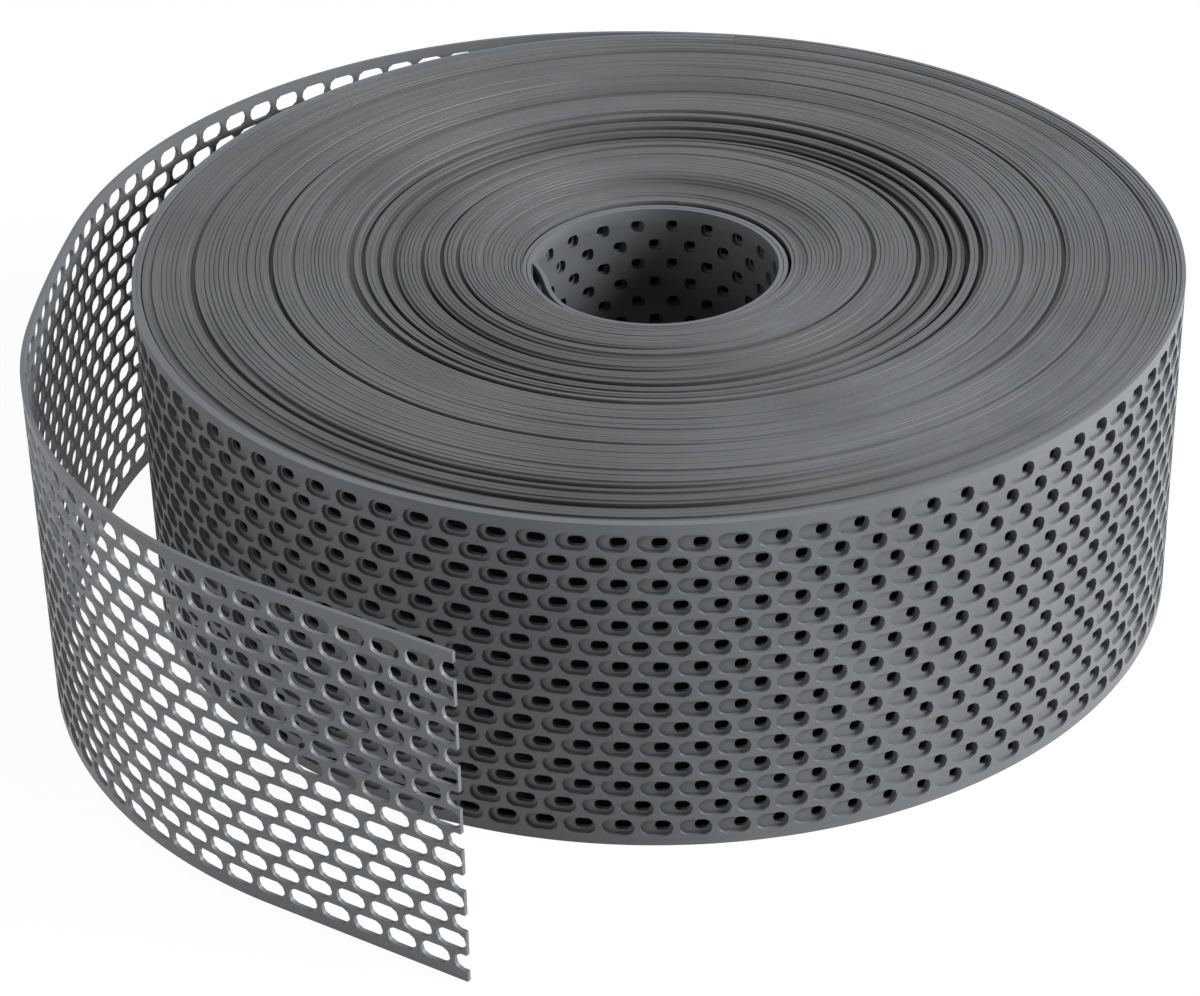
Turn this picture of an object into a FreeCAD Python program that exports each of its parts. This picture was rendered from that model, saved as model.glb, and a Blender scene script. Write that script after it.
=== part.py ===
import FreeCAD, Part
import math
import os
import Sketcher

# A roll of perforated plastic eaves ventilation strip, standing on its end.
# Frame: +Z up along the core hole, origin on the hole's axis at the surface that the
# roll stands on, -Y towards the front, where the loose end of the strip lies.

doc = FreeCAD.newDocument("VentStripRoll")

# Driving dimensions in millimetres and degrees, each with what it measures.
driving_dimensions = [
    ("strip_width", 100.0, "width of the strip, which is the height of the roll"),
    ("strip_thickness", 1.2, "thickness of the strip"),
    ("turn_gap", 0.2, "air between the outer turn and the turn under it"),
    ("roll_radius", 149.1, "radius of the roll under its outer turn"),
    ("core_radius", 34.0, "radius of the hole that the inner turn leaves"),
    ("core_offset", 9.0, "how far the hole lies in front of the roll's centre"),
    ("leave_angle", 80.0, "direction from the roll's centre where the tail leaves"),
    ("peel_length", 45.0, "stretch of the tail that lifts off the roll"),
    ("peel_turn", 11.0, "angle that the lifting stretch turns through"),
    ("back_length", 220.0, "stretch that bends round the back of the roll"),
    ("back_turn", 81.5, "angle that the back stretch turns through"),
    ("flank_length", 57.0, "nearly straight stretch along the roll's left side"),
    ("flank_turn", 6.0, "angle that the flank stretch turns through"),
    ("sweep_length", 158.0, "stretch that sweeps to the front"),
    ("sweep_turn", 60.0, "angle that the sweeping stretch turns through"),
    ("end_length", 62.0, "straight stretch up to the cut end"),
    ("slot_length", 17.6, "length of a slot along the strip, from tip to tip"),
    ("slot_width", 9.6, "width of a slot across the strip"),
    ("slot_tip", 4.4, "length of each pointed end of a slot"),
    ("slot_pitch", 24.4, "distance between slots of one row"),
    ("slot_rows", 7, "rows of slots across the strip"),
    ("edge_border", 3.5, "plain border along each edge of the strip"),
    ("end_web", 1.2, "bridge between the cut end and the last whole slot"),
    ("plain_start", 125.0, "stretch beside the roll that has no slots"),
    ("band_depth", 1.0, "how deep a sunk group of turns lies under its end face"),
    ("top_bands", 4, "sunk groups of turns on the top face"),
    ("bottom_bands", 1, "sunk groups of turns on the bottom face"),
]

sheet = doc.addObject("Spreadsheet::Sheet", "Sizes")
for row, (alias, value, meaning) in enumerate(driving_dimensions, start=1):
    sheet.set(f"A{row}", alias)
    sheet.set(f"B{row}", str(value))
    sheet.set(f"C{row}", meaning)
    sheet.setAlias(f"B{row}", alias)
doc.recompute()


def size(alias):
    return float(sheet.get(alias))


def direction(angle):
    """Unit vector in plan at an angle in degrees from +X."""
    return FreeCAD.Vector(math.cos(math.radians(angle)), math.sin(math.radians(angle)), 0)


strip_width = size("strip_width")
strip_thickness = size("strip_thickness")
turn_pitch = strip_thickness + size("turn_gap")
roll_radius = size("roll_radius")
core_offset = size("core_offset")
leave_angle = size("leave_angle")
roll_centre = FreeCAD.Vector(0, core_offset, 0)
leave_direction = direction(leave_angle)

body = doc.addObject("PartDesign::Body", "RollBody")


def origin_plane(role):
    return next(plane for plane in body.Origin.OriginFeatures if plane.Role == role)


def plan_sketch(name, height=None):
    """Sketch in plan whose own origin is the roll's centre, at the floor or at a bound height."""
    sketch = body.newObject("Sketcher::SketchObject", name)
    sketch.AttachmentSupport = (origin_plane("XY_Plane"), [""])
    sketch.MapMode = "FlatFace"
    sketch.setExpression("AttachmentOffset.Base.y", "Sizes.core_offset")
    if height:
        sketch.setExpression("AttachmentOffset.Base.z", height)
    return sketch


def bind(sketch, constraint, name, expression):
    """Adds a dimension to a sketch and ties it to the sheet."""
    index = sketch.addConstraint(constraint)
    sketch.renameConstraint(index, name)
    sketch.setExpression(f"Constraints.{name}", expression)


def bind_point(sketch, geometry, position, point, name, across, along):
    """Ties a point's two coordinates to the sheet."""
    bind(sketch, Sketcher.Constraint("DistanceX", -1, 1, geometry, position, point.x), f"{name}_x", across)
    bind(sketch, Sketcher.Constraint("DistanceY", -1, 1, geometry, position, point.y), f"{name}_y", along)


def circle_arc(centre, radius, first_angle, last_angle):
    circle = Part.Circle(centre, FreeCAD.Vector(0, 0, 1), radius)
    return Part.ArcOfCircle(circle, math.radians(first_angle), math.radians(last_angle))


# The wound roll: the outer turn is a spiral of two half circles that gains one turn
# and ends in a step at the place where the tail leaves.
outline = plan_sketch("RollOutline")
quarter_pitch = turn_pitch / 4
late_centre = leave_direction * quarter_pitch
early_centre = leave_direction * -quarter_pitch
step_foot = leave_direction * roll_radius
step_head = leave_direction * (roll_radius + turn_pitch)
late_half = outline.addGeometry(
    circle_arc(late_centre, roll_radius + 3 * quarter_pitch, leave_angle - 180, leave_angle)
)
early_half = outline.addGeometry(
    circle_arc(early_centre, roll_radius + quarter_pitch, leave_angle, leave_angle + 180)
)
step = outline.addGeometry(Part.LineSegment(step_foot, step_head))
bound_pitch = "(Sizes.strip_thickness + Sizes.turn_gap)"
leave_x = "cos(Sizes.leave_angle * 1 deg)"
leave_y = "sin(Sizes.leave_angle * 1 deg)"
bind_point(outline, late_half, 3, late_centre, "late_centre",
           f"{bound_pitch} / 4 * {leave_x}", f"{bound_pitch} / 4 * {leave_y}")
bind_point(outline, step, 1, step_foot, "step_foot",
           f"Sizes.roll_radius * {leave_x}", f"Sizes.roll_radius * {leave_y}")
bound_head = f"(Sizes.roll_radius + {bound_pitch})"
bind_point(outline, step, 2, step_head, "step_head",
           f"{bound_head} * {leave_x}", f"{bound_head} * {leave_y}")
outline.addConstraint(Sketcher.Constraint("Coincident", early_half, 1, step, 1))
outline.addConstraint(Sketcher.Constraint("Coincident", late_half, 2, step, 2))
outline.addConstraint(Sketcher.Constraint("Angle", late_half, math.pi))
outline.addConstraint(Sketcher.Constraint("Tangent", early_half, 2, late_half, 1))
core = outline.addGeometry(
    Part.Circle(FreeCAD.Vector(0, -core_offset, 0), FreeCAD.Vector(0, 0, 1), size("core_radius"))
)
outline.addConstraint(Sketcher.Constraint("PointOnObject", core, 3, -2))
bind(outline, Sketcher.Constraint("DistanceY", core, 3, -1, 1, core_offset), "core_offset",
     "Sizes.core_offset")
bind(outline, Sketcher.Constraint("Radius", core, size("core_radius")), "core_radius", "Sizes.core_radius")
roll = body.newObject("PartDesign::Pad", "Roll")
roll.Profile = outline
roll.setExpression("Length", "Sizes.strip_width")
doc.recompute()

# The tail's middle line in plan, about the roll's centre: five stretches of even bend. It lifts
# off the outer turn, bends round the back, runs beside the roll, sweeps to the front and ends
# straight.
tail_stretches = [
    (size("peel_length"), size("peel_turn")),
    (size("back_length"), size("back_turn")),
    (size("flank_length"), size("flank_turn")),
    (size("sweep_length"), size("sweep_turn")),
    (size("end_length"), 0),
]
tail_length = sum(length for length, turn in tail_stretches)
tightest_radius = min(length / math.radians(turn) for length, turn in tail_stretches if turn)


def tail_place(distance):
    """Point on the middle line at a distance from the roll, and the angle of its outward normal."""
    point = leave_direction * (roll_radius + turn_pitch - strip_thickness / 2)
    outward_angle = leave_angle
    for length, turn in tail_stretches:
        covered = min(max(distance, 0), length)
        half_turn = turn * covered / length / 2
        half_arc = math.radians(half_turn)
        chord = covered * math.sin(half_arc) / half_arc if half_arc else covered
        point = point + direction(outward_angle + 90 + half_turn) * chord
        outward_angle += 2 * half_turn
        distance -= length
    return point, outward_angle


def tail_side(offset, stations=20):
    """Smooth curve along one face of the tail, from the roll to the cut end."""
    points = []
    for station in range(stations + 1):
        point, outward_angle = tail_place(tail_length * station / stations)
        points.append(point + direction(outward_angle) * offset)
    curve = Part.BSplineCurve()
    curve.interpolate(
        Points=points, InitialTangent=direction(leave_angle + 90), FinalTangent=direction(outward_angle + 90)
    )
    return curve


tail_outline = plan_sketch("TailOutline")
inner_side = tail_side(-strip_thickness / 2)
outer_side = tail_side(strip_thickness / 2)
cut_end = Part.LineSegment(inner_side.EndPoint, outer_side.EndPoint)
root = Part.LineSegment(outer_side.StartPoint, inner_side.StartPoint)
for side in (inner_side, cut_end, outer_side, root):
    tail_outline.addGeometry(side)
tail = body.newObject("PartDesign::Pad", "Tail")
tail.Profile = tail_outline
tail.setExpression("Length", "Sizes.strip_width")
doc.recompute()


def sunk_turns(name, band_count, height, cuts_up):
    """Shallow rings on an end face, where every other group of turns sits deeper.

    Their edges lie evenly between the hole and the rim, and their centres shift with them.
    """
    rings = plan_sketch(f"{name}Rings", height)
    edge_count = 2 * band_count
    for edge in range(1, edge_count + 1):
        rim_share = edge / (edge_count + 1)
        core_share = 1 - rim_share
        radius = core_share * size("core_radius") + rim_share * roll_radius
        centre = FreeCAD.Vector(0, -core_share * core_offset, 0)
        circle = rings.addGeometry(Part.Circle(centre, FreeCAD.Vector(0, 0, 1), radius))
        rings.addConstraint(Sketcher.Constraint("PointOnObject", circle, 3, -2))
        bind(rings, Sketcher.Constraint("DistanceY", circle, 3, -1, 1, -centre.y), f"offset_{edge}",
             f"{core_share} * Sizes.core_offset")
        bind(rings, Sketcher.Constraint("Radius", circle, radius), f"radius_{edge}",
             f"{core_share} * Sizes.core_radius + {rim_share} * Sizes.roll_radius")
    doc.recompute()
    pocket = body.newObject("PartDesign::Pocket", name)
    pocket.Profile = rings
    pocket.Reversed = cuts_up
    pocket.setExpression("Length", "Sizes.band_depth")
    doc.recompute()


whole_volume = body.Shape.Volume
sunk_turns("TopTurns", int(size("top_bands")), "Sizes.strip_width", False)
top_cut_volume = body.Shape.Volume
sunk_turns("BottomTurns", int(size("bottom_bands")), None, True)
if not whole_volume > top_cut_volume > body.Shape.Volume:
    raise RuntimeError("a ring pocket cut nothing")


# The slots: pointed at both ends, in rows that are staggered by half a pitch, and cut
# square to the strip all along the tail. The end is cut straight through every other row.
slot_length = size("slot_length")
slot_pitch = size("slot_pitch")
slot_rows = int(size("slot_rows"))
half_width = size("slot_width") / 2
tip_start = slot_length / 2 - size("slot_tip")
first_row = size("edge_border") + half_width
row_pitch = (strip_width - 2 * first_row) / (slot_rows - 1)
slot_bow = slot_length ** 2 / (8 * tightest_radius)
cut_reach = strip_thickness / 2 + slot_bow + size("turn_gap")
perforated_length = tail_length - size("plain_start")


def slot_cutter(end_distance, height):
    point, outward_angle = tail_place(tail_length - end_distance)
    outward = direction(outward_angle)
    forward = direction(outward_angle + 90)
    middle = roll_centre + point + FreeCAD.Vector(0, 0, height) - outward * cut_reach
    outline_points = [
        (-slot_length / 2, 0),
        (-tip_start, -half_width),
        (tip_start, -half_width),
        (slot_length / 2, 0),
        (tip_start, half_width),
        (-tip_start, half_width),
        (-slot_length / 2, 0),
    ]
    loop = Part.makePolygon([middle + forward * u + FreeCAD.Vector(0, 0, v) for u, v in outline_points])
    return Part.Face(loop).extrude(outward * (2 * cut_reach))


cutters = []
for row in range(slot_rows):
    whole_slot = size("end_web") + slot_length / 2
    end_distance = whole_slot if row % 2 else whole_slot - slot_pitch / 2
    while end_distance + slot_length / 2 < perforated_length:
        cutters.append(slot_cutter(end_distance, first_row + row * row_pitch))
        end_distance += slot_pitch
slots = doc.addObject("Part::Feature", "SlotCutters")
slots.Shape = Part.makeCompound(cutters)

vent_strip_roll = doc.addObject("Part::Cut", "VentStripRoll")
vent_strip_roll.Label = "vent_strip_roll"
vent_strip_roll.Base = body
vent_strip_roll.Tool = slots
doc.recompute()

failed = [item.Name for item in doc.Objects if {"Invalid", "Error"} & set(item.State)]
if failed:
    raise RuntimeError(f"failed objects: {failed}")
shape = vent_strip_roll.Shape
if shape.isNull() or not shape.isValid() or len(shape.Solids) != 1:
    raise RuntimeError("the roll is not one valid solid")
os.makedirs("parts", exist_ok=True)
shape.exportStep(f"parts/{vent_strip_roll.Label}.step")
print(vent_strip_roll.Label, "volume", round(shape.Volume), "slots", len(cutters), "box", shape.BoundBox)
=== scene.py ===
import bmesh
import bpy
import math
from mathutils import Euler, Matrix, Vector, noise


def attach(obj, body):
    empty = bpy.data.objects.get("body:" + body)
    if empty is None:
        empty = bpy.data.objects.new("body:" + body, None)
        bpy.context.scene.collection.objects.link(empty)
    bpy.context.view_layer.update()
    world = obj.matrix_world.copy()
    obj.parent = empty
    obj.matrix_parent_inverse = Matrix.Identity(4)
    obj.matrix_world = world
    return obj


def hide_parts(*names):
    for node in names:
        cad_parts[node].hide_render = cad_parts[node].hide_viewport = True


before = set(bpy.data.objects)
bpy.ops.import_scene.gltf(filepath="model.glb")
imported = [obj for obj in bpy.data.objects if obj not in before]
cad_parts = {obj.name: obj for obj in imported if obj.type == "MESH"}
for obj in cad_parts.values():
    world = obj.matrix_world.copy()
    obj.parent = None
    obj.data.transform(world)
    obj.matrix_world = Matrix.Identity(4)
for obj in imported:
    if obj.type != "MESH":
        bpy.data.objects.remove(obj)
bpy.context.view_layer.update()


# Inner turns
# The first windings of the strip, which line the hole. The strip is soft grey PVC, punched
# flat with staggered slots; its cut inner end springs a little way off the turn behind it.
strip_width = 0.100
strip_thickness = 0.0012
turn_pitch = 0.0014
slot_length = 0.0090
slot_width = 0.0052
slot_end = (0.00395, 0.0017)
slot_shoulder = 0.0024
slot_pitch = 0.0103
slot_rows = 15
row_pitch = 0.00633
first_row = 0.0057
rim_points = 12
punched_crease = math.radians(60)


def direction(angle):
    return Vector((math.cos(angle), math.sin(angle), 0))


def set_quarter_points(verts, points):
    """Moves the points of a ring onto an outline that is given for one quarter of it."""
    for vert in verts:
        step = round(math.atan2(abs(vert.co.y), abs(vert.co.x)) * rim_points / math.tau)
        along, across = points[step]
        vert.co = (math.copysign(along, vert.co.x), math.copysign(across, vert.co.y), 0)


def slot_cell():
    """One slot and the web round it, flat and centred on the origin."""
    cell = bmesh.new()
    bmesh.ops.create_circle(cell, segments=rim_points, radius=1)
    slot_rim = cell.verts[:]
    web = bmesh.ops.extrude_edge_only(cell, edges=cell.edges[:])["geom"]
    web_rim = [part for part in web if isinstance(part, bmesh.types.BMVert)]
    set_quarter_points(slot_rim, [
        (slot_length / 2, 0), slot_end, (slot_shoulder, slot_width / 2), (0, slot_width / 2),
    ])
    half_pitch = slot_pitch / 2
    half_row = row_pitch / 2
    set_quarter_points(web_rim, [
        (half_pitch, 0), (half_pitch, half_row), (half_pitch / 2, half_row), (0, half_row),
    ])
    return cell


def repeat(mesh, geometry, shift, copies):
    bmesh.ops.spin(
        mesh, geom=geometry, cent=(0, 0, 0), axis=(0, 0, 1), dvec=shift,
        angle=0, steps=copies, use_duplicate=True
    )


def all_of(mesh):
    return mesh.verts[:] + mesh.edges[:] + mesh.faces[:]


def flat_strip(length, slot_start):
    """Punched strip from x = 0 to its length, with a slot of the first row at slot_start."""
    strip = slot_cell()
    spare_slots = 2
    lead = math.ceil(slot_start / slot_pitch) + spare_slots
    bmesh.ops.translate(strip, verts=strip.verts, vec=(slot_start - lead * slot_pitch, first_row, 0))
    repeat(strip, all_of(strip), (slot_pitch, 0, 0), math.ceil(length / slot_pitch) + lead + spare_slots)
    one_row = all_of(strip)
    for row in range(1, slot_rows):
        copied = bmesh.ops.duplicate(strip, geom=one_row)["geom"]
        moved = [part for part in copied if isinstance(part, bmesh.types.BMVert)]
        bmesh.ops.translate(strip, verts=moved, vec=(row % 2 * slot_pitch / 2, row * row_pitch, 0))
    same_place = slot_pitch / 1000
    bmesh.ops.remove_doubles(strip, verts=strip.verts, dist=same_place)
    low_edge = first_row - row_pitch / 2
    high_edge = low_edge + slot_rows * row_pitch
    for edge_height, border_height in ((low_edge, 0), (high_edge, strip_width)):
        edge = [
            side for side in strip.edges
            if all(abs(vert.co.y - edge_height) < same_place for vert in side.verts)
        ]
        border = bmesh.ops.extrude_edge_only(strip, edges=edge)["geom"]
        for part in border:
            if isinstance(part, bmesh.types.BMVert):
                part.co.y = border_height
    for place, outward in ((0, -1), (length, 1)):
        bmesh.ops.bisect_plane(
            strip, geom=all_of(strip), plane_co=(place, 0, 0), plane_no=(outward, 0, 0), clear_outer=True
        )
    bmesh.ops.recalc_face_normals(strip, faces=strip.faces)
    bmesh.ops.solidify(strip, geom=strip.faces[:], thickness=strip_thickness)
    lowest = min(vert.co.z for vert in strip.verts)
    bmesh.ops.translate(strip, verts=strip.verts, vec=(0, 0, -lowest - strip_thickness / 2))
    for side in strip.edges:
        side.smooth = side.calc_face_angle(0) < punched_crease
    return strip


def narrow_slots(strip, slot_start, opening):
    """Leaves of each slot what the slots of the turns beneath leave open.

    For a slot's distance along the strip, opening gives its shift and its shares of length and width.
    """
    for vert in strip.verts:
        row = round((vert.co.y - first_row) / row_pitch)
        middle = first_row + row * row_pitch
        centre = slot_start + row % 2 * slot_pitch / 2
        centre += round((vert.co.x - centre) / slot_pitch) * slot_pitch
        along = vert.co.x - centre
        across = vert.co.y - middle
        in_length = abs(along) < (slot_length + slot_pitch) / 4
        in_width = abs(across) < (slot_width + row_pitch) / 4
        if 0 <= row < slot_rows and in_length and in_width:
            shift, length_share, width_share = opening(centre)
            vert.co.x = centre + shift + along * length_share
            vert.co.y = middle + across * width_share


def wind(strip, place, low, high):
    """Bends the flat strip along a path in plan, and keeps its flat measures as the UV map."""
    flat = strip.loops.layers.uv.new("strip")
    for face in strip.faces:
        for loop in face.loops:
            loop[flat].uv = loop.vert.co.xy
    for vert in strip.verts:
        distance, across, depth = vert.co
        point, outward = place(distance)
        vert.co = point + outward * depth
        vert.co.z = low + across / strip_width * (high - low)
    bmesh.ops.recalc_face_normals(strip, faces=strip.faces)


def make_piece(name, shape, material):
    for face in shape.faces:
        face.smooth = True
    mesh = bpy.data.meshes.new(name)
    shape.to_mesh(mesh)
    shape.free()
    mesh.materials.append(material)
    piece = bpy.data.objects.new(name, mesh)
    bpy.context.scene.collection.objects.link(piece)
    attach(piece, "root")
    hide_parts("vent_strip_roll")


def new_plastic(name):
    material = bpy.data.materials.new(name)
    material.use_nodes = True
    shader = material.node_tree.nodes["Principled BSDF"]
    shader.inputs["IOR"].default_value = 1.5
    shader.inputs["Specular IOR Level"].default_value = 0.3
    return material, shader, material.node_tree.links.new


def add_node(material, kind, **inputs):
    node = material.node_tree.nodes.new(kind)
    for name, value in inputs.items():
        node.inputs[name.replace("_", " ")].default_value = value
    return node


def add_noise(material, where, **settings):
    texture = add_node(material, "ShaderNodeTexNoise", **settings)
    material.node_tree.links.new(where, texture.inputs["Vector"])
    return texture.outputs["Fac"]


def stretched(material, where, scale):
    mapping = add_node(material, "ShaderNodeMapping", Scale=scale)
    material.node_tree.links.new(where, mapping.inputs["Vector"])
    return mapping.outputs["Vector"]


def grey(material, fine, fine_share, broad, dark_until, dark, pale):
    """From dark to pale by the sum of a broad noise and a share of a fine one."""
    link = material.node_tree.links.new
    tone = add_node(material, "ShaderNodeMath")
    tone.operation = "MULTIPLY_ADD"
    tone.inputs[1].default_value = fine_share
    link(fine, tone.inputs[0])
    link(broad, tone.inputs[2])
    ramp = add_node(material, "ShaderNodeValToRGB")
    ramp.color_ramp.elements[0].position = dark_until
    ramp.color_ramp.elements[0].color = dark
    ramp.color_ramp.elements[1].color = pale
    link(tone.outputs["Value"], ramp.inputs["Fac"])
    return ramp.outputs["Color"]


def roughness(material, where, least, most):
    spread = add_node(material, "ShaderNodeMapRange", To_Min=least, To_Max=most)
    material.node_tree.links.new(where, spread.inputs["Value"])
    return spread.outputs["Result"]


def bump(material, height, strength):
    relief = add_node(material, "ShaderNodeBump", Strength=strength, Distance=0.0001)
    material.node_tree.links.new(height, relief.inputs["Height"])
    return relief


def strip_plastic(name):
    """Extruded PVC: satin, with faint draw lines along the strip and slow changes of tone."""
    material, shader, link = new_plastic(name)
    place = add_node(material, "ShaderNodeTexCoord")
    along_strip = stretched(material, place.outputs["UV"], (5, 700, 1))
    draw_lines = add_noise(material, along_strip, Scale=1.0, Detail=3.0)
    cloud = add_noise(material, place.outputs["Object"], Scale=16.0, Detail=4.0)
    grain = add_noise(material, place.outputs["Object"], Scale=1800.0, Detail=2.0)
    colour = grey(
        material, fine=draw_lines, fine_share=0.45, broad=cloud, dark_until=0.45,
        dark=(0.098, 0.105, 0.112, 1), pale=(0.135, 0.143, 0.150, 1)
    )
    link(colour, shader.inputs["Base Color"])
    link(roughness(material, cloud, least=0.36, most=0.52), shader.inputs["Roughness"])
    line_bump = bump(material, draw_lines, strength=0.12)
    grain_bump = bump(material, grain, strength=0.10)
    link(line_bump.outputs["Normal"], grain_bump.inputs["Normal"])
    link(grain_bump.outputs["Normal"], shader.inputs["Normal"])
    return material


def painted_shade_inward(material, deep, shallow, deepest_shade):
    """Paints shade into the plastic's colour: darker with its depth below the roll's end faces, as less
    light gets there.
    """
    link = material.node_tree.links.new
    base_colour = material.node_tree.nodes["Principled BSDF"].inputs["Base Color"]
    place = add_node(material, "ShaderNodeTexCoord")
    height = add_node(material, "ShaderNodeSeparateXYZ")
    link(place.outputs["Object"], height.inputs["Vector"])
    above_middle = add_node(material, "ShaderNodeMath")
    above_middle.operation = "SUBTRACT"
    above_middle.inputs[1].default_value = strip_width / 2
    link(height.outputs["Z"], above_middle.inputs[0])
    from_middle = add_node(material, "ShaderNodeMath")
    from_middle.operation = "ABSOLUTE"
    link(above_middle.outputs["Value"], from_middle.inputs[0])
    light_reach = add_node(
        material, "ShaderNodeMapRange", From_Min=strip_width / 2 - deep, From_Max=strip_width / 2 - shallow,
        To_Min=deepest_shade, To_Max=1.0
    )
    link(from_middle.outputs["Value"], light_reach.inputs["Value"])
    shaded = add_node(material, "ShaderNodeHueSaturation")
    link(base_colour.links[0].from_socket, shaded.inputs["Color"])
    link(light_reach.outputs["Result"], shaded.inputs["Value"])
    link(shaded.outputs["Color"], base_colour)


shaded_hole_plastic = strip_plastic("shaded_hole_plastic")
# Painted shade: the hole's plastic darkens in colour from 1 mm to 6 mm below each end face, and stays at
# two thirds of its tone deeper in, as less light reaches down the hole.
painted_shade_inward(shaded_hole_plastic, deep=0.0060, shallow=0.0010, deepest_shade=0.66)
hole_radius = 0.0348
inner_end_angle = math.radians(176)
sprung_angle = math.radians(50)
sprung_depth = 0.0026
slots_round_hole = 21
inner_turn_length = slots_round_hole * slot_pitch
inner_turn_count = 2.1
inner_slot = slot_pitch / 2
inner_low = 0.0004
inner_high = 0.0992


def inner_place(distance):
    """Place on the innermost turns, measured along the strip from its inner end."""
    turned = distance / inner_turn_length * math.tau
    radius = hole_radius + turn_pitch * turned / math.tau
    sprung = turned / sprung_angle
    if sprung < 1:
        # The most that x * (1 - x) ** 2 reaches between 0 and 1.
        peak = 4 / 27
        radius -= sprung_depth * sprung * (1 - sprung) ** 2 / peak
    outward = direction(inner_end_angle + turned)
    return outward * radius, outward


def inner_opening(distance):
    """Half closed slots in the first turn, and small openings in the turn behind it."""
    if distance < inner_turn_length:
        shift = 0
        length_share = 0.46
        width_share = 0.74
    else:
        shift = 0.0003
        length_share = 0.27
        width_share = 0.52
    return shift, length_share, width_share


inner_turns = flat_strip(inner_turn_count * inner_turn_length, inner_slot)
narrow_slots(inner_turns, inner_slot, inner_opening)
wind(inner_turns, inner_place, inner_low, inner_high)
make_piece("inner_turns", inner_turns, shaded_hole_plastic)


# Wound turns
# The body of the roll: some ninety windings of the strip, of which only the two end faces
# show. Each winding is a narrow flat edge beside a thin gap, and groups of them sit deeper.
wound_start = hole_radius + (inner_turn_count + 0.5) * turn_pitch
wound_end = 0.1477
edge_pitch = 0.0012
wound_bearing = math.radians(80)
edge_share = 0.82
edge_crease = math.radians(25)
uneven_height = 0.00022
gap_depth = 0.0006
gap_depth_least = 0.15
border_depth = 0.0030
cavity_width = 0.0030
wound_turns = int((wound_end - wound_start) / edge_pitch)
wound_pitch = (wound_end - wound_start) / wound_turns

# Where windings stand apart: radius, depth, width, the bearing in degrees where the gap is
# deepest, and how fast it closes away from there.
open_gaps = [
    (0.1455, 0.0010, 0.0007, 250, 1.5),
    (0.1437, 0.0014, 0.0007, 30, 2),
    (0.1395, 0.0014, 0.0012, 258, 3),
    (0.1360, 0.0008, 0.0012, 90, 2),
    (0.1345, 0.0013, 0.0008, 215, 1.5),
    (0.1320, 0.0012, 0.0010, 245, 4),
    (0.1260, 0.0007, 0.0007, 330, 1),
    (0.1210, 0.0007, 0.0007, 60, 1),
    (0.1140, 0.0015, 0.0007, 195, 3),
    (0.1136, 0.0019, 0.0007, 350, 1.5),
    (0.1075, 0.0007, 0.0007, 270, 1),
    (0.1030, 0.0010, 0.0020, 110, 1.5),
    (0.1010, 0.0006, 0.0007, 0, 1),
    (0.0905, 0.0028, 0.0009, 15, 1),
    (0.0905, 0.0018, 0.0008, 225, 4),
    (0.0865, 0.0032, 0.0009, 20, 0.5),
    (0.0820, 0.0028, 0.0009, 10, 1),
    (0.0815, 0.0020, 0.0008, 220, 4),
    (0.0770, 0.0022, 0.0014, 60, 1),
    (0.0765, 0.0022, 0.0010, 250, 2),
    (0.0735, 0.0018, 0.0008, 20, 1),
    (0.0682, 0.0014, 0.0012, 90, 2),
    (0.0682, 0.0022, 0.0009, 225, 4),
    (0.0620, 0.0014, 0.0008, 180, 1),
    (0.0615, 0.0012, 0.0008, 330, 3),
    (0.0575, 0.0020, 0.0009, 222, 4),
    (0.0490, 0.0008, 0.0025, 70, 2),
    (0.0418, 0.0010, 0.0009, 40, 1),
]

# Where many windings have sunk together, by the same five values.
sunken_bands = [
    (0.1385, 0.0012, 0.0100, 250, 3),
    (0.1350, 0.0006, 0.0080, 100, 2),
    (0.1060, 0.0008, 0.0050, 95, 2),
    (0.0800, 0.0014, 0.0090, 85, 1),
    (0.0680, 0.0013, 0.0140, 250, 1.5),
    (0.0470, 0.0012, 0.0070, 65, 1.5),
]

# Where the windings of a radius have their centre: radius, x and y.
drift = [
    (0.0348, 0, 0), (0.0580, 0.0005, 0.0095), (0.0750, 0.0015, 0.0085), (0.0900, 0.0025, 0.0115),
    (0.1050, 0.0035, 0.0135), (0.1220, 0.0030, 0.0130), (0.1380, 0.0012, 0.0105), (0.1477, 0, 0.0090),
]


def wound_centre(radius):
    """The windings are pressed off centre by turns: the hole lies in front of the rim's centre."""
    for (near, near_x, near_y), (far, far_x, far_y) in zip(drift, drift[1:]):
        if radius <= far or far == drift[-1][0]:
            share = min(max((radius - near) / (far - near), 0), 1)
            return Vector((near_x, near_y, 0)).lerp(Vector((far_x, far_y, 0)), share)


def groove_drop(radius, bearing):
    """How deep the windings of a radius sit at a bearing."""
    drop = 0
    widths_felt = 3
    for groove_radius, depth, width, deepest, fading in open_gaps + sunken_bands:
        away = (radius - groove_radius) / width
        if abs(away) < widths_felt:
            facing = math.cos(bearing - math.radians(deepest))
            drop += depth * math.exp(fading * (facing - 1) - away ** 2)
    return drop


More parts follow.
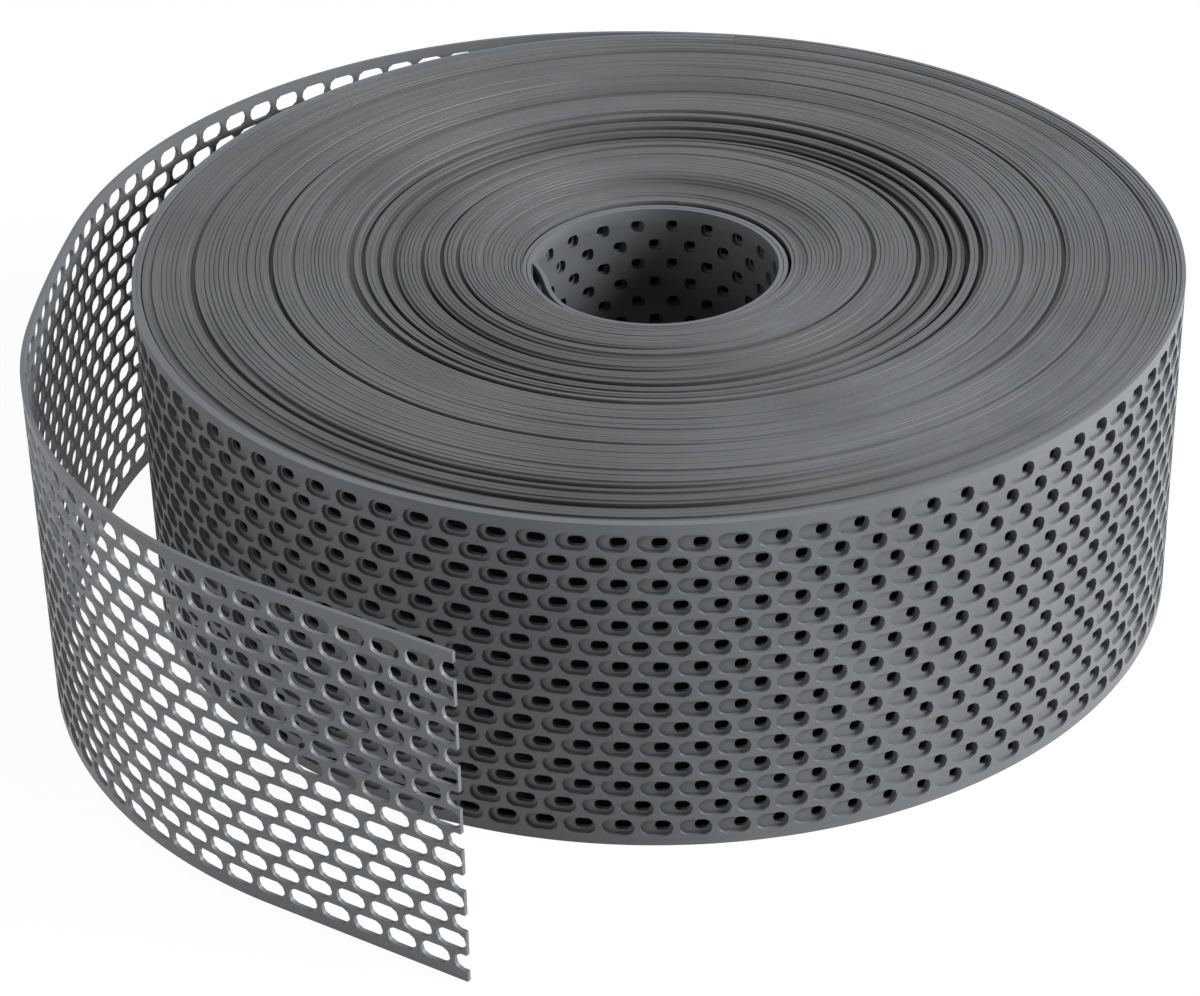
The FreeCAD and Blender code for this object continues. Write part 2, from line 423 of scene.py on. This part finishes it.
def wound_edges(steps, seed, groove_share):
    """Half of the roll with its end face at z = 0 and the cut face below, as a spun spiral."""
    half = bmesh.new()
    groove_floor = half.verts.new((0, 0, -gap_depth))
    edge_start = half.verts.new(((1 - edge_share) / 2 * wound_pitch, 0, 0))
    edge_end = half.verts.new(((1 + edge_share) / 2 * wound_pitch, 0, 0))
    next_floor = half.verts.new((wound_pitch, 0, -gap_depth))
    for first, second in ((groove_floor, edge_start), (edge_start, edge_end), (edge_end, next_floor)):
        half.edges.new((first, second))
    repeat(half, half.verts[:] + half.edges[:], (wound_pitch, 0, 0), wound_turns - 1)
    bmesh.ops.remove_doubles(half, verts=half.verts, dist=wound_pitch / 100)
    bmesh.ops.translate(half, verts=half.verts, vec=(wound_start, 0, 0))
    inner_rim = min(half.verts, key=lambda vert: vert.co.x)
    outer_rim = max(half.verts, key=lambda vert: vert.co.x)
    inner_wall = wound_start + cavity_width
    outer_wall = wound_end - cavity_width
    middle = -strip_width / 2
    corners = [outer_rim]
    for radius, height in (
        (wound_end, -border_depth), (outer_wall, -border_depth), (outer_wall, middle),
        (inner_wall, middle), (inner_wall, -border_depth), (wound_start, -border_depth),
    ):
        corners.append(half.verts.new((radius, 0, height)))
    corners.append(inner_rim)
    for first, second in zip(corners, corners[1:]):
        half.edges.new((first, second))
    start = half.edges[:]
    last = bmesh.ops.spin(
        half, geom=half.verts[:] + start, cent=(0, 0, 0), axis=(0, 0, 1), angle=math.tau, steps=steps
    )["geom_last"]
    closing = {part for part in last if isinstance(part, bmesh.types.BMVert)}
    for end in (start, [part for part in last if isinstance(part, bmesh.types.BMEdge)]):
        bmesh.ops.contextual_create(half, geom=end)
    rounding = 0.01
    wander_round = 1.1
    wander_outward = 0.73
    gap_wander = 1.7
    gap_lift = 0.35
    turned_at = {}
    for vert in half.verts:
        turned = math.tau if vert in closing else math.atan2(vert.co.y, vert.co.x) % math.tau
        turned_at[vert] = turned
        share = turned / math.tau
        bearing = wound_bearing + turned
        radius = vert.co.xy.length
        height = vert.co.z
        if height > -border_depth / 2:
            turn = int((radius - wound_start) / wound_pitch + rounding)
            radius = max(radius + wound_pitch * (share - 1), wound_start)
            wander = direction(turned) * wander_round
            wander.z = seed + wander_outward * (turn + share)
            if height < -gap_depth / 2:
                openness = max(noise.noise(wander * gap_wander) + gap_lift, 0)
                height *= gap_depth_least + (1 - gap_depth_least) * openness
            height -= uneven_height * (1 + noise.noise(wander))
            turn_radius = wound_start + (turn + share - 0.5) * wound_pitch
            height -= groove_share * groove_drop(turn_radius, bearing)
        elif height > -border_depth * 1.5 and radius > outer_wall + cavity_width / 2:
            radius += wound_pitch * (share - 1)
        point = wound_centre(radius) + direction(bearing) * radius
        vert.co = (point.x, point.y, height)
    wound = half.loops.layers.uv.new("wound")
    for face in half.faces:
        for loop in face.loops:
            point = loop.vert.co
            loop[wound].uv = ((point.xy.length - wound_start) / wound_pitch, turned_at[loop.vert])
    for side in half.edges:
        side.smooth = side.calc_face_angle(0) < edge_crease
    return half


def edge_plastic():
    """Sheared strip edges: duller and a little darker than the faces, each turn its own tone."""
    material, shader, link = new_plastic("edge_plastic")
    place = add_node(material, "ShaderNodeTexCoord")
    along_turn = stretched(material, place.outputs["UV"], (0.85, 0.6, 1))
    turn_tone = add_noise(material, along_turn, Scale=1.0, Detail=5.0, Roughness=0.65)
    cloud = add_noise(material, place.outputs["Object"], Scale=22.0, Detail=5.0)
    grain = add_noise(material, place.outputs["Object"], Scale=1500.0, Detail=3.0)
    colour = grey(
        material, fine=turn_tone, fine_share=0.8, broad=cloud, dark_until=0.55,
        dark=(0.062, 0.066, 0.070, 1), pale=(0.098, 0.103, 0.108, 1)
    )
    link(colour, shader.inputs["Base Color"])
    link(roughness(material, turn_tone, least=0.48, most=0.66), shader.inputs["Roughness"])
    link(bump(material, grain, strength=0.2).outputs["Normal"], shader.inputs["Normal"])
    return material


shaded_sheared_plastic = edge_plastic()
# Painted shade: the end faces' plastic darkens in colour from 0.6 mm to 3 mm below each face, and stays at
# about an eighth of its tone deeper in. This makes the gaps, the sunken windings and the walls of the
# hollow behind the slots look as dark as deep shade.
painted_shade_inward(shaded_sheared_plastic, deep=0.0030, shallow=0.0006, deepest_shade=0.12)
upper_half = wound_edges(steps=264, seed=11, groove_share=1.0)
bmesh.ops.translate(upper_half, verts=upper_half.verts, vec=(0, 0, strip_width))
bmesh.ops.recalc_face_normals(upper_half, faces=upper_half.faces)
make_piece("wound_turns_upper", upper_half, shaded_sheared_plastic)
lower_half = wound_edges(steps=168, seed=23, groove_share=0.6)
bmesh.ops.scale(lower_half, verts=lower_half.verts, vec=(1, 1, -1))
bmesh.ops.recalc_face_normals(lower_half, faces=lower_half.faces)
make_piece("wound_turns_lower", lower_half, shaded_sheared_plastic)


# Outer turn, loose end and turns beneath
# The same punched PVC strip: its outer winding goes on into the loose end, which leaves the roll
# at the back and sweeps round its left side to a straight cut in front. One close turn behind it
# stands for those beneath, with the openings that their slots leave between them.
roll_centre = Vector((0, 0.009, 0))
leave_angle = math.radians(80)
outer_radius = 0.1499
turn_length = math.tau * outer_radius
cut_through_slot = -0.00055
lift_off = (0.045, math.radians(11))
round_back = (0.220, math.radians(81.5))
along_flank = (0.057, math.radians(6))
sweep_to_front = (0.158, math.radians(60))
straight_end = (0.062, 0)
tail_stretches = (lift_off, round_back, along_flank, sweep_to_front, straight_end)
tail_length = sum(length for length, turn in tail_stretches)
under_depth = 0.9
under_low = 0.0001
under_high = 0.0997
under_slot = (cut_through_slot - tail_length) % slot_pitch
under_width_share = 0.58
aligned_turn = math.radians(190)
aligned_length_share = 0.68
slipped_length_share = 0.33
slot_slip = 0.0029
slip_angle = 0.55


def turn_place(distance, depth):
    """Place on a winding, so many turns deep, measured along it from where the loose end leaves."""
    turned = distance / outer_radius
    outward = direction(leave_angle - turned)
    return roll_centre + outward * (outer_radius - turn_pitch * (depth + turned / math.tau)), outward


def under_place(distance):
    return turn_place(distance, under_depth)


def under_opening(distance):
    """The slots of the turns line up at one bearing and drift apart to both sides of it."""
    slip = math.tanh((distance / outer_radius - aligned_turn) / slip_angle)
    length_share = aligned_length_share + (slipped_length_share - aligned_length_share) * abs(slip)
    return slot_slip * slip, length_share, under_width_share


def tail_place(distance):
    """Place on the loose end and the winding behind it, measured from the cut."""
    along = tail_length - distance
    if along < 0:
        return turn_place(-along, 0)
    outward_angle = leave_angle
    point = roll_centre + direction(leave_angle) * outer_radius
    for length, turn in tail_stretches:
        covered = min(max(along, 0), length)
        half_turn = turn * covered / length / 2
        chord = covered * math.sin(half_turn) / half_turn if half_turn else covered
        point = point + direction(outward_angle + math.pi / 2 + half_turn) * chord
        outward_angle += 2 * half_turn
        along -= length
    return point, direction(outward_angle)


punched_plastic = strip_plastic("strip_plastic")
under_turns = flat_strip(turn_length, under_slot)
narrow_slots(under_turns, under_slot, under_opening)
wind(under_turns, under_place, under_low, under_high)
make_piece("under_turns", under_turns, punched_plastic)

outer_strip = flat_strip(tail_length + turn_length, cut_through_slot)
wind(outer_strip, tail_place, 0, strip_width)
make_piece("outer_turn_and_loose_end", outer_strip, punched_plastic)


# Floor, light and camera
# A white floor that takes a faint shadow, a broad soft lamp at the right, weak ones above and
# at the left, and the long lens of the picture.
floor_reach = 6
floor_shape = bmesh.new()
bmesh.ops.create_grid(floor_shape, x_segments=8, y_segments=8, size=floor_reach)
floor_mesh = bpy.data.meshes.new("floor")
floor_shape.to_mesh(floor_mesh)
floor_shape.free()
floor = bpy.data.objects.new("floor", floor_mesh)
bpy.context.scene.collection.objects.link(floor)


def seen_rays(material):
    """One where a ray comes from the camera, a mirror or glass."""
    link = material.node_tree.links.new
    rays = material.node_tree.nodes.new("ShaderNodeLightPath")
    total = rays.outputs["Is Camera Ray"]
    for kind in ("Is Glossy Ray", "Is Transmission Ray"):
        larger = material.node_tree.nodes.new("ShaderNodeMath")
        larger.operation = "MAXIMUM"
        link(total, larger.inputs[0])
        link(rays.outputs[kind], larger.inputs[1])
        total = larger.outputs["Value"]
    return total


def floor_white():
    """Matt grey under the lamps, so that it takes the shadow, and mostly its own white when seen."""
    material = bpy.data.materials.new("white_floor")
    material.use_nodes = True
    link = material.node_tree.links.new
    matt = material.node_tree.nodes["Principled BSDF"]
    matt.inputs["Base Color"].default_value = (0.55, 0.55, 0.55, 1)
    matt.inputs["Roughness"].default_value = 0.9
    matt.inputs["Specular IOR Level"].default_value = 0.0
    glow = add_node(material, "ShaderNodeEmission", Strength=1.06)
    glow_share = add_node(material, "ShaderNodeMapRange", To_Min=0.0, To_Max=0.9)
    link(seen_rays(material), glow_share.inputs["Value"])
    mixed = add_node(material, "ShaderNodeMixShader")
    link(glow_share.outputs["Result"], mixed.inputs["Fac"])
    link(matt.outputs["BSDF"], mixed.inputs[1])
    link(glow.outputs["Emission"], mixed.inputs[2])
    link(mixed.outputs["Shader"], material.node_tree.nodes["Material Output"].inputs["Surface"])
    return material


floor_mesh.materials.append(floor_white())

studio = bpy.data.worlds.new("studio")
studio.use_nodes = True
bpy.context.scene.world = studio
backdrop = studio.node_tree.nodes["Background"]
backdrop.inputs["Color"].default_value = (1, 1, 1, 1)
studio_strength = add_node(studio, "ShaderNodeMapRange", To_Min=0.15, To_Max=1.0)
studio.node_tree.links.new(seen_rays(studio), studio_strength.inputs["Value"])
studio.node_tree.links.new(studio_strength.outputs["Result"], backdrop.inputs["Strength"])
lamp_target = Vector((0, 0, 0.05))


def add_lamp(name, place, size, power):
    lamp = bpy.data.lights.new(name, "AREA")
    lamp.shape = "DISK"
    lamp.size = size
    lamp.energy = power
    holder = bpy.data.objects.new(name, lamp)
    holder.location = place
    holder.rotation_euler = (lamp_target - Vector(place)).to_track_quat("-Z", "Y").to_euler()
    bpy.context.scene.collection.objects.link(holder)


add_lamp("key_lamp", place=(1.4, -0.30, 0.75), size=0.7, power=50)
add_lamp("top_lamp", place=(0.4, 0.1, 1.6), size=1.2, power=4.5)
add_lamp("fill_lamp", place=(-1.05, -0.9, 0.5), size=0.7, power=8)

camera = bpy.data.cameras.new("camera")
camera.sensor_width = 36
camera.lens = 105
camera_from_roll = Vector((0, -0.8917, 0.5644))
camera_pitch = math.radians(31.58)
camera_yaw = math.radians(-1.13)
camera_roll = math.radians(-1.23)
view = bpy.data.objects.new("camera", camera)
view.location = roll_centre + camera_from_roll
level_view = Euler((math.pi / 2 - camera_pitch, 0, -camera_yaw)).to_matrix()
view.rotation_euler = (level_view @ Matrix.Rotation(camera_roll, 3, "Z")).to_euler()
bpy.context.scene.collection.objects.link(view)
bpy.context.scene.camera = view
bpy.context.scene.view_settings.view_transform = "Standard"
